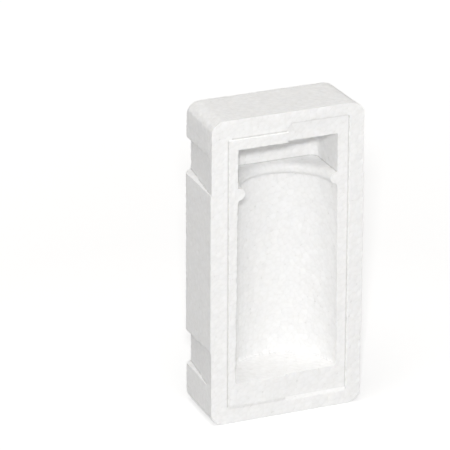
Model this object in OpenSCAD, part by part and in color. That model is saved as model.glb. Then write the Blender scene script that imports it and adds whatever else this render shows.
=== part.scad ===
// One half of a moulded foam shipper for a single bottle, in millimetres.
// X runs across the parting face, Y from the parting face to the back, Z up.
// The origin is at the middle of the base. Two of these halves close on each other
// when one is turned half round about Z: the lip on its left drops into the other's recess.

/* [Block] */
// Width across the parting face
block_w = 94; // [90:1:120]
// Height
block_h = 185; // [182:1:220]
// Depth from the parting face to the back
half_d = 41; // [39:1:60]
// Radius of the four long corners
corner_r = 9; // [5:0.5:16]
// Radius of the edge round the back
back_r = 3.5; // [2:0.5:6]
// How far the sides and top lean in over the depth, so that the half leaves its mould
draft = 0.8; // [0.4:0.1:2]

/* [Bottle cavity] */
// Diameter of the bottle's body
bottle_d = 60; // [50:1:62]
// Gap round the bottle's body
bottle_gap = 1; // [0.5:0.25:2]
// How much wider the body cavity is, in radius, at its floor than at its shoulder
flare = 1; // [0:0.1:1.5]
// Thickness of foam under the bottle
floor_t = 24.5; // [18:0.5:30]
// Height of the body cavity, from its floor to its shoulder
body_h = 111.5; // [90:0.5:112]
// Radius where the cavity's floor meets its wall
floor_r = 2; // [1:0.5:4]
// How far the collar stands in from the body cavity's wall
collar_in = 4.5; // [3:0.25:7]
// Height of the sloped shoulder under the collar
shoulder_h = 4.5; // [4:0.5:10]
// Radius where the body cavity's wall turns into the shoulder
shoulder_r = 6; // [2:0.5:7]
// Radius on the collar's upper edge
collar_r = 3.5; // [2:0.25:5]

/* [Cap pocket] */
// Width
pocket_w = 61.5; // [50:0.5:64]
// Height
pocket_h = 23; // [18:0.5:26]
// Depth from the parting face
pocket_d = 31.5; // [27:0.5:35]
// Radius of the two upright corners at its back
pocket_r = 5; // [3:0.5:8]

/* [Interlock] */
// Height of the lip above the parting face
lip_h = 1.2; // [0.8:0.1:2.5]
// Land left outside the lip at the side
lip_side_land = 10.5; // [8.5:0.1:12]
// Land left outside the lip at the top
lip_top_land = 11.5; // [10:0.1:14]
// Land left outside the lip at the bottom
lip_bottom_land = 9.1; // [7:0.1:14]
// How far the lip's steep sides lean in over its height
lip_lean = 0.35; // [0.1:0.05:0.6]
// How far the lip's lower side leans in over its height
lip_bottom_lean = 1.8; // [0.4:0.1:3]
// Radius of the lip's and the recess's outer corners
lip_corner_r = 2; // [1:0.25:4]
// Radius of the corner where the lip's lower side ends at the middle
lip_end_r = 3; // [1:0.5:5]
// Radius of the corner where the recess's upper side starts at the middle
recess_end_r = 3.5; // [1:0.5:5]
// Gap between the lip's crest and the recess floor when closed
recess_floor_gap = 0.2; // [0.1:0.05:0.6]
// Gap beside the lip in the recess
recess_side_gap = 1.3; // [0.5:0.1:2]
// Gap above the lip in the recess
recess_top_gap = 4.5; // [0.5:0.1:5]
// Gap below the lip in the recess
recess_bottom_gap = 0.8; // [0.4:0.1:2]
// Gap at the middle, between the end of the lip and the end of the recess
jog_gap = 0.4; // [0.2:0.05:1]

/* [Side channels] */
// Height of each channel across the sides
channel_h = 23; // [14:0.1:30]
// Side wall left above the upper channel
channel_from_top = 20.6; // [16:0.1:30]
// Side wall left below the lower channel
channel_from_bottom = 22.9; // [16:0.1:30]
// Depth of a channel at the parting face
channel_front_d = 0.5; // [0.5:0.1:1.2]
// Depth of a channel at the back
channel_back_d = 4.9; // [2:0.1:6]
// Rise of a channel's lower end over each millimetre that it goes in
channel_rise = 0.3; // [0.1:0.1:1]
// How far the side walls beyond the channels stand back from the wall between them
// at the parting face
end_front_in = 0.5; // [0.1:0.1:0.5]
// How far they stand back at the back
end_back_in = 1; // [0.5:0.1:1.5]

/* [Hidden] */
foam_white = [0.96, 0.96, 0.95];
$fn = 96;
// Facets of each disc that the rounded block's skin is drawn over
skin_fn = 64;
// Steps round the back edge's quarter circle
skin_steps = 6;
// Steps of the arc between the body cavity's wall and the shoulder
shoulder_steps = 6;
thin = 0.01;
past = 5;
cavity_r = bottle_d / 2 + bottle_gap;
base_r = cavity_r + flare;
throat_r = cavity_r - collar_in;
shoulder_z = floor_t + body_h;
collar_z = shoulder_z + shoulder_h;
pocket_z = collar_z + collar_r;
recess_d = lip_h + recess_floor_gap;
// The parting face's place along Y, with the lip counted in the overall depth
face_y = (lip_h - half_d) / 2;

// Skin inset at a depth y behind the parting face: straight draft, then the back edge's arc
function arc_in(y) = back_r - sqrt(max(0, back_r * back_r - pow(max(0, y - (half_d - back_r)), 2)));
function skin_in(y) = draft * min(y, half_d - back_r) / half_d + arc_in(y);

// A thin rounded plate across X and Z at depth y, inset at the sides and top, and
// at the bottom by the back edge's arc alone, so that the base stays flat
module skin_plate(y) {
    side = skin_in(y);
    base = arc_in(y);
    r = corner_r - base;
    for (x = [-1, 1], z = [base + r, block_h - side - r])
        translate([x * (block_w / 2 - side - r), y, z])
            rotate([90, 0, 0])
                cylinder(h = thin, r = r, center = true, $fn = skin_fn);
}

// The outer block with drafted walls and a rounded edge all round its back
module block() {
    intersection() {
        hull() {
            skin_plate(0);
            for (i = [0:skin_steps])
                skin_plate(half_d - back_r + back_r * sin(90 * i / skin_steps) * 0.9999);
        }
        translate([-block_w, 0, -past])
            cube([2 * block_w, half_d, block_h + 2 * past]);
    }
}

// Section of the round cavity: floor, flared wall, shoulder with its arc, rounded collar
module cavity_section() {
    turn = atan2(collar_in, shoulder_h);
    arc_z = shoulder_z - shoulder_r * tan(turn / 2);
    difference() {
        union() {
            translate([0, floor_t]) square([base_r - floor_r, 2 * floor_r]);
            translate([base_r - floor_r, floor_t + floor_r]) circle(r = floor_r);
            polygon(concat(
                [[0, floor_t + floor_r], [base_r, floor_t + floor_r]],
                [for (i = [0:shoulder_steps]) let (a = turn * i / shoulder_steps)
                    [cavity_r - shoulder_r * (1 - cos(a)), arc_z + shoulder_r * sin(a)]],
                [[throat_r, collar_z], [throat_r, pocket_z], [0, pocket_z]]));
            translate([0, collar_z]) square([throat_r + collar_r, collar_r + thin]);
        }
        translate([throat_r + collar_r, collar_z]) circle(r = collar_r);
        translate([-2 * cavity_r, 0]) square([2 * cavity_r, block_h]);
    }
}

// Room for the bottle, turned about the pair's shared axis at the parting face
module bottle_cavity() {
    rotate_extrude($fn = 128) cavity_section();
}

// Square pocket round the cap, rounded at its two upright back corners
module cap_pocket() {
    translate([0, 0, pocket_z])
        linear_extrude(pocket_h)
            union() {
                translate([-pocket_w / 2, -past])
                    square([pocket_w, pocket_d - pocket_r + past]);
                translate([-pocket_w / 2 + pocket_r, 0])
                    square([pocket_w - 2 * pocket_r, pocket_d]);
                for (x = [-1, 1])
                    translate([x * (pocket_w / 2 - pocket_r), pocket_d - pocket_r])
                        circle(r = pocket_r);
            }
}

// What a rounding of radius r takes off a square corner at [x, z] that points to +X +Z
// before it is turned
module rounding(x, z, r, turn) {
    translate([x, z])
        rotate(turn)
            translate([-r, -r])
                difference() {
                    square(r + past);
                    circle(r = r);
                }
}

// Outline in X and Z of one side's step, from the middle out to the given lands. Its two
// outer corners are round, and one end at the middle is: the upper one, or else the lower
module step_outline(inner, side_land, top_land, bottom_land, end_r, end_up) {
    outer = block_w / 2 - side_land;
    top = block_h - top_land;
    difference() {
        translate([inner, bottom_land]) square([outer - inner, top - bottom_land]);
        rounding(outer, top, lip_corner_r, 0);
        rounding(outer, bottom_land, lip_corner_r, -90);
        if (end_up) rounding(inner, top, end_r, 90);
        else rounding(inner, bottom_land, end_r, 180);
    }
}

// A raised or sunk step on the right-hand side, h tall from y = 0 towards +Y, whose
// outer walls lean in: by lean at the side and top, and by bottom_lean at the bottom
module step_solid(inner, side_land, top_land, bottom_land, h, lean, bottom_lean, end_r, end_up) {
    outer = block_w / 2 - side_land;
    top = block_h - top_land;
    k = (h + past) / h;
    intersection() {
        translate([0, h, 0])
            rotate([90, 0, 0])
                linear_extrude(h + past)
                    step_outline(inner, side_land, top_land, bottom_land, end_r, end_up);
        // Walls at the side, with their lean
        translate([0, 0, -past])
            linear_extrude(block_h + 2 * past)
                polygon([[inner - past, h], [outer - lean, h], [outer + lean * (k - 1), -past],
                         [inner - past, -past]]);
        // Walls at the top and bottom, with theirs
        rotate([90, 0, 90])
            linear_extrude(block_w)
                polygon([[h, bottom_land + bottom_lean], [h, top - lean], [-past, top + lean * (k - 1)],
                         [-past, bottom_land - bottom_lean * (k - 1)]]);
    }
}

// Lip on the left of the parting face, standing forward by its height
module lip() {
    mirror([1, 0, 0])
        mirror([0, 1, 0])
            step_solid(jog_gap, lip_side_land, lip_top_land, lip_bottom_land, lip_h, lip_lean,
                       lip_bottom_lean, lip_end_r, false);
}

// Recess on the right, the shape of the lip with the closing gaps round it
module recess() {
    grow = recess_d / lip_h;
    step_solid(0, lip_side_land - recess_side_gap, lip_top_land - recess_top_gap,
               lip_bottom_land - recess_bottom_gap, recess_d, lip_lean * grow, lip_bottom_lean * grow,
               recess_end_r, true);
}

// One channel cut across the right-hand side, deeper towards the back. Its upper end slopes
// at 45 degrees and its lower end is a ledge with a slight rise
module side_channel(z) {
    d = channel_back_d + past;
    slope = (channel_back_d - channel_front_d) / half_d;
    intersection() {
        translate([0, 0, z - past])
            linear_extrude(channel_h + 2 * past)
                polygon([[block_w / 2 + past, -past], [block_w / 2 - channel_front_d + slope * past, -past],
                         [block_w / 2 - channel_back_d - slope * past, half_d + past],
                         [block_w / 2 + past, half_d + past]]);
        translate([0, half_d + past, 0])
            rotate([90, 0, 0])
                linear_extrude(half_d + 2 * past)
                    polygon([[block_w / 2 - d, z + channel_rise * d],
                             [block_w / 2 + past, z - channel_rise * past],
                             [block_w / 2 + past, z + channel_h + past],
                             [block_w / 2 - d, z + channel_h - d]]);
    }
}

// What sets the right-hand wall back beyond a channel, from z to z + h
module end_wall(z, h) {
    front_x = block_w / 2 - end_front_in;
    slope = (end_back_in - end_front_in + draft) / half_d;
    translate([0, 0, z])
        linear_extrude(h)
            polygon([[block_w / 2 + past, -past], [front_x + slope * past, -past],
                     [front_x - slope * (half_d + past), half_d + past],
                     [block_w / 2 + past, half_d + past]]);
}

// The channels and the walls beyond them, on both sides
module side_channels() {
    upper_z = block_h - channel_from_top - channel_h;
    for (side = [0, 1])
        mirror([side, 0, 0]) {
            side_channel(channel_from_bottom);
            side_channel(upper_z);
            end_wall(-past, channel_from_bottom + channel_h / 2 + past);
            end_wall(upper_z + channel_h / 2, block_h + past - upper_z - channel_h / 2);
        }
}

// The moulded half: block and lip, less the recess, the bottle's cavity and the channels
module foam_half() {
    color(foam_white)
        translate([0, face_y, 0])
            difference() {
                union() {
                    block();
                    lip();
                }
                recess();
                bottle_cavity();
                cap_pocket();
                side_channels();
            }
}

foam_half();
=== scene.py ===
from itertools import product

import bmesh
import bpy
import numpy as np
from mathutils import Euler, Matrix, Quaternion, Vector


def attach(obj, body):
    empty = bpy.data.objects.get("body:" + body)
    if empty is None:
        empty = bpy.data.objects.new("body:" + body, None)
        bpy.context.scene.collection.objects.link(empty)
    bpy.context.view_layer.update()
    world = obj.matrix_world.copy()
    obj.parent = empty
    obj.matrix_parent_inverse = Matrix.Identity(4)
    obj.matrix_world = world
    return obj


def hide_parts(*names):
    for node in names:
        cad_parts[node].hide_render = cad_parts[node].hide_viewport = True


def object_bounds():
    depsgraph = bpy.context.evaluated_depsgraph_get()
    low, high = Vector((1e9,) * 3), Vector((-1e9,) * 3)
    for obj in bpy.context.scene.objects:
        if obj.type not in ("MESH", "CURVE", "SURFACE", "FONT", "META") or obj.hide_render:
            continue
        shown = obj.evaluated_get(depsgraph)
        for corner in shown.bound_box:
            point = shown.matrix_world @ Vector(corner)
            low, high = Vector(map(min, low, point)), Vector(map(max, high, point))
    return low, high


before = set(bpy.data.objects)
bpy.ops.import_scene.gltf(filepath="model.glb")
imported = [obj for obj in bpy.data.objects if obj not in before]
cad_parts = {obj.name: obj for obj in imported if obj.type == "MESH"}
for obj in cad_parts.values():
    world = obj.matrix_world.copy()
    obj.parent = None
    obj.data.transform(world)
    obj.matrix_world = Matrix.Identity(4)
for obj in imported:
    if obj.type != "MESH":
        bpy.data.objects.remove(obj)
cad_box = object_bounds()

# Foam half
# One half of the bottle shipper. Polystyrene beads are blown into an aluminium mould and fused
# with steam, so the skin is a mosaic of flattened beads with fine seams and a few open pits.
# The CAD solid gives every form and size; here its skin gets the beads and its edges break a little.

skin_halvings = 8
skin_fill = 0.84
crease_angle = np.radians(32)
bead_pitch = 0.0033
bead_wander = 0.76
bead_seed = 11
bead_turn = Euler((0.5, 0.35, 0.8)).to_matrix()
dome_depth = 0.00010
dome_span = 0.3
seam_depth = 0.00008
seam_width = 0.0005
bead_spread = 0.00004
edge_depth = 0.00022
edge_reach = 0.00010
edge_at_seams = 0.6
edge_at_beads = 0.4
crease_reach = 0.00020


def laid_skin(node, halvings, fill):
    """The node's closed surface as points and quads at an even spacing.

    A cube, of which the solid's height takes up the given share, is halved over and over
    into small cells. Each cell that the surface crosses holds one point, put where the planes
    in that cell meet, so that edges stay crisp, and points of neighbouring cells are joined.
    """
    mesh = node.data.copy()
    merged = bmesh.new()
    merged.from_mesh(mesh)
    bmesh.ops.remove_doubles(merged, verts=merged.verts, dist=1e-6)
    merged.to_mesh(mesh)
    merged.free()
    carrier = bpy.data.objects.new("skin_carrier", mesh)
    bpy.context.scene.collection.objects.link(carrier)
    cells = carrier.modifiers.new("cells", "REMESH")
    cells.mode = "SHARP"
    cells.octree_depth = halvings
    cells.scale = fill
    cells.use_remove_disconnected = False
    skin = carrier.evaluated_get(bpy.context.evaluated_depsgraph_get()).to_mesh()
    points = np.empty((len(skin.vertices), 3), np.float32)
    skin.vertices.foreach_get("co", points.ravel())
    quads = np.empty(len(skin.loops), np.int32)
    skin.loops.foreach_get("vertex_index", quads)
    bpy.data.objects.remove(carrier)
    bpy.data.meshes.remove(mesh)
    return points.astype(float), quads.reshape(-1, 4)


def summed(at, values, count):
    """For each of count points, the sum of the vectors whose entry in at names that point."""
    return np.stack([np.bincount(at, values[:, k], count) for k in range(3)], axis=1)


def outward(points, quads):
    """Unit normal at each point: the sum of the crossed diagonals of the quads round it."""
    corner = points[quads]
    faces = np.cross(corner[:, 2] - corner[:, 0], corner[:, 3] - corner[:, 1])
    total = sum(summed(quads[:, k], faces, len(points)) for k in range(4))
    return total / np.linalg.norm(total, axis=1, keepdims=True)


def around(points, quads):
    """Mean of each point's neighbours along the quads' edges, each edge being walked both ways."""
    start = quads.ravel()
    end = np.roll(quads, -1, axis=1).ravel()
    count = np.bincount(start, minlength=len(points))
    return summed(start, points[end], len(points)) / count[:, None]


def bead_distances(points, pitch, wander, turn, seed):
    """Distances from each point to its three nearest bead centres, and the nearest bead's number.

    A cubic lattice of the given pitch, turned askew to the block, holds one centre in each
    cell, which wanders at random over that share of the cell's width. The 27 cells round each
    point are tried, all the points at once, and the three shortest distances are kept. The
    bead's number is random, from nil to one.
    """
    random = np.random.default_rng(seed)
    turned = points @ np.array(turn).T / pitch
    turned -= turned.min(axis=0) - 2
    cell = np.floor(turned).astype(int)
    shape = cell.max(axis=0) + 3
    shift = (1 - wander) / 2 + wander * random.random((*shape, 3))
    number = random.random(shape)
    distance = []
    numbers = []
    for step in product((-1, 0, 1), repeat=3):
        near = tuple((cell + step).T)
        centre = cell + step + shift[near]
        distance.append(np.linalg.norm(turned - centre, axis=1))
        numbers.append(number[near])
    order = np.argsort(distance, axis=0)[:3]
    nearest = np.take_along_axis(np.array(distance), order, axis=0) * pitch
    return nearest, np.take_along_axis(np.array(numbers), order[:1], axis=0)[0]


skin_points, skin_quads = laid_skin(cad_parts["foam_half"], skin_halvings, skin_fill)
skin_normals = outward(skin_points, skin_quads)
proud = np.sum((skin_points - around(skin_points, skin_quads)) * skin_normals, axis=1)
edge = np.clip(proud / edge_reach, 0, 1)
# Painted shade: points in tight inner corners get a mask that darkens their colour, in place of the shade
# that falls there.
painted_crease_shade = np.clip(-proud / crease_reach, 0, 1)
(first, second, third), bead_number = bead_distances(
    skin_points, bead_pitch, bead_wander, bead_turn, bead_seed
)
seam = np.exp(-((second - first) / seam_width) ** 2)
junction = np.exp(-((third - first) / seam_width) ** 2)
sink = dome_depth * (first / bead_pitch) ** 2 / dome_span
sink += seam_depth * seam + bead_spread * bead_number
sink += edge_depth * edge * (edge_at_seams * seam + edge_at_beads * bead_number ** 3)
skin_points -= skin_normals * sink[:, None]
low, high = (np.array(corner) for corner in cad_box)
skin_points = np.clip(skin_points, low, high)

foam_mesh = bpy.data.meshes.new("moulded_foam")
foam_mesh.from_pydata(skin_points, [], skin_quads)
foam_mesh.polygons.foreach_set("use_smooth", np.ones(len(skin_quads), bool))
masks = {"seam": seam, "bead": bead_number, "junction": junction, "painted_crease_shade": painted_crease_shade}
for name, values in masks.items():
    foam_mesh.attributes.new(name, "FLOAT", "POINT").data.foreach_set("value", values.astype(np.float32))
foam_mesh.set_sharp_from_angle(angle=crease_angle)
moulded_half = bpy.data.objects.new("moulded_half", foam_mesh)
bpy.context.scene.collection.objects.link(moulded_half)


foam_tones = ((0.918, 0.917, 0.915, 1), (0.885, 0.884, 0.882, 1))
foam_roughness = (0.52, 0.72)
foam_translucency = 0.2
foam_light_reach = 0.002
grain_scale = 1400
grain_depth = 0.0001

# Each darker mark on the foam: the mask's level at which it starts, its strength where the mask
# is full, and its tone. Seams and pits are the foam's own colour; the corner mark is painted shade.
foam_marks = {
    "seam": (0.0, 0.22, (0.74, 0.735, 0.72, 1)),
    "junction": (0.75, 0.5, (0.55, 0.545, 0.53, 1)),
    # painted shade: darkens the colour in tight inner corners
    "painted_crease_shade": (0.3, 0.6, (0.50, 0.495, 0.48, 1)),
}


def mask(nodes, name):
    """The value of that name that the mesh carries at each point."""
    reader = nodes.new("ShaderNodeAttribute")
    reader.attribute_name = name
    return reader.outputs["Fac"]


def marked(nodes, links, colour, name, start, strength, tone):
    """The colour, mixed towards the tone by the mask, from its starting level up to full."""
    share = nodes.new("ShaderNodeMapRange")
    share.inputs["From Min"].default_value = start
    share.inputs["To Max"].default_value = strength
    links.new(mask(nodes, name), share.inputs["Value"])
    mix = nodes.new("ShaderNodeMix")
    mix.data_type = "RGBA"
    mix.inputs["B"].default_value = tone
    links.new(share.outputs["Result"], mix.inputs["Factor"])
    links.new(colour, mix.inputs["A"])
    return mix.outputs["Result"]


def foam_material():
    """Fused foam: each bead has its own faint tone, seams and pits are darker, and tight inner corners
    carry painted shade.
    """
    material = bpy.data.materials.new("fused_foam")
    material.use_nodes = True
    nodes = material.node_tree.nodes
    links = material.node_tree.links
    foam = nodes["Principled BSDF"]
    foam.inputs["IOR"].default_value = 1.45
    foam.inputs["Specular IOR Level"].default_value = 0.35
    foam.inputs["Subsurface Weight"].default_value = foam_translucency
    foam.inputs["Subsurface Radius"].default_value = (1.0, 0.95, 0.85)
    foam.inputs["Subsurface Scale"].default_value = foam_light_reach

    tone = nodes.new("ShaderNodeMix")
    tone.data_type = "RGBA"
    tone.inputs["A"].default_value, tone.inputs["B"].default_value = foam_tones
    links.new(mask(nodes, "bead"), tone.inputs["Factor"])
    colour = tone.outputs["Result"]
    for name, (start, strength, mark_tone) in foam_marks.items():
        colour = marked(nodes, links, colour, name, start, strength, mark_tone)
    links.new(colour, foam.inputs["Base Color"])

    place = nodes.new("ShaderNodeTexCoord")
    grain = nodes.new("ShaderNodeTexNoise")
    grain.inputs["Scale"].default_value = grain_scale
    grain.inputs["Detail"].default_value = 3
    links.new(place.outputs["Object"], grain.inputs["Vector"])
    sheen = nodes.new("ShaderNodeMapRange")
    sheen.inputs["To Min"].default_value, sheen.inputs["To Max"].default_value = foam_roughness
    links.new(grain.outputs["Fac"], sheen.inputs["Value"])
    links.new(sheen.outputs["Result"], foam.inputs["Roughness"])

    relief = nodes.new("ShaderNodeBump")
    relief.inputs["Strength"].default_value = 0.35
    relief.inputs["Distance"].default_value = grain_depth
    links.new(grain.outputs["Fac"], relief.inputs["Height"])
    links.new(relief.outputs["Normal"], foam.inputs["Normal"])
    return material


foam_mesh.materials.append(foam_material())
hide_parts("foam_half")
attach(moulded_half, "root")

# Table and backdrop
# A plain matt white sheet that runs from under the half to far behind it. It shows as white to
# the camera and keeps the soft shadow; the studio beyond it is lit evenly from all round.

floor_reach = 6.0
floor_colour = (0.75, 0.75, 0.75, 1)
floor_lift = (0.40, 0.80)
floor_lift_reach = (0.25, 1.6)
sky_light = 0.31


def seen_directly(nodes, links):
    """One for rays from the camera and for those a glossy or clear surface sends on, else nil."""
    rays = nodes.new("ShaderNodeLightPath")
    glossy = nodes.new("ShaderNodeMath")
    glossy.operation = "MAXIMUM"
    links.new(rays.outputs["Is Camera Ray"], glossy.inputs[0])
    links.new(rays.outputs["Is Glossy Ray"], glossy.inputs[1])
    clear = nodes.new("ShaderNodeMath")
    clear.operation = "MAXIMUM"
    links.new(glossy.outputs[0], clear.inputs[0])
    links.new(rays.outputs["Is Transmission Ray"], clear.inputs[1])
    return clear.outputs[0]


def sheet_material():
    """Matt white paper, with enough light of its own for the camera alone to show it as white."""
    material = bpy.data.materials.new("white_sheet")
    material.use_nodes = True
    nodes = material.node_tree.nodes
    links = material.node_tree.links
    paper = nodes["Principled BSDF"]
    paper.inputs["Base Color"].default_value = floor_colour
    paper.inputs["Roughness"].default_value = 0.9
    paper.inputs["Specular IOR Level"].default_value = 0.1
    paper.inputs["Emission Color"].default_value = (1, 1, 1, 1)
    place = nodes.new("ShaderNodeTexCoord")
    far = nodes.new("ShaderNodeVectorMath")
    far.operation = "LENGTH"
    links.new(place.outputs["Object"], far.inputs[0])
    level = nodes.new("ShaderNodeMapRange")
    level.inputs["From Min"].default_value, level.inputs["From Max"].default_value = floor_lift_reach
    level.inputs["To Min"].default_value, level.inputs["To Max"].default_value = floor_lift
    links.new(far.outputs["Value"], level.inputs["Value"])
    lift = nodes.new("ShaderNodeMath")
    lift.operation = "MULTIPLY"
    links.new(level.outputs["Result"], lift.inputs[1])
    links.new(seen_directly(nodes, links), lift.inputs[0])
    links.new(lift.outputs[0], paper.inputs["Emission Strength"])
    return material


sheet_mesh = bpy.data.meshes.new("white_sheet")
across = np.array([(-1, -1, 0), (1, -1, 0), (1, 1, 0), (-1, 1, 0)]) * floor_reach
sheet_mesh.from_pydata(across, [], [(0, 1, 2, 3)])
sheet_mesh.materials.append(sheet_material())
white_sheet = bpy.data.objects.new("white_sheet", sheet_mesh)
bpy.context.scene.collection.objects.link(white_sheet)

studio = bpy.data.worlds.new("studio")
bpy.context.scene.world = studio
studio.use_nodes = True
sky_nodes = studio.node_tree.nodes
sky_links = studio.node_tree.links
sky = sky_nodes["Background"]
sky.inputs["Color"].default_value = (1, 1, 1, 1)
sky_level = sky_nodes.new("ShaderNodeMapRange")
sky_level.inputs["To Min"].default_value = sky_light
sky_level.inputs["To Max"].default_value = 1.0
sky_links.new(seen_directly(sky_nodes, sky_links), sky_level.inputs["Value"])
sky_links.new(sky_level.outputs["Result"], sky.inputs["Strength"])

# Lamps
# A small softbox stands beside the camera, a little higher, and lights the rim and the cavity.
# A large one, slightly warm, hangs overhead a little to the left, for the top and the ramps.


def softbox(name, place, size, power, colour, aim=(0, 0, 0.09)):
    """A square lamp of the given size at a place, facing the aim."""
    lamp = bpy.data.lights.new(name, "AREA")
    lamp.size = size
    lamp.energy = power
    lamp.color = colour
    stand = bpy.data.objects.new(name, lamp)
    stand.location = place
    stand.rotation_mode = "QUATERNION"
    stand.rotation_quaternion = (Vector(aim) - Vector(place)).to_track_quat("-Z", "Y")
    stand.visible_camera = False
    bpy.context.scene.collection.objects.link(stand)


softbox("softbox_front", (-0.950, -2.113, 1.280), 0.16, 33.5, (1, 1, 1))
softbox("softbox_top", (-0.35, -0.50, 2.60), 1.8, 25.5, (1, 0.975, 0.94))

# Camera
# A long lens stands off to the left of the open side, a little above the block.

camera_place = Vector((-0.84493, -1.92246, 0.97291))
camera_aim = Vector((-0.0383, -0.0199, 0.12305))
camera_roll = 0.20
camera_focal = 320.4
camera_lens = bpy.data.cameras.new("camera")
camera_lens.sensor_width = 36
camera_lens.lens = camera_focal
camera_lens.clip_end = 50
camera = bpy.data.objects.new("camera", camera_lens)
camera.location = camera_place
camera.rotation_mode = "QUATERNION"
level = (camera_aim - camera_place).to_track_quat("-Z", "Y")
camera.rotation_quaternion = level @ Quaternion((0, 0, 1), np.radians(camera_roll))
bpy.context.scene.collection.objects.link(camera)
bpy.context.scene.camera = camera

bpy.context.scene.view_settings.view_transform = "Standard"
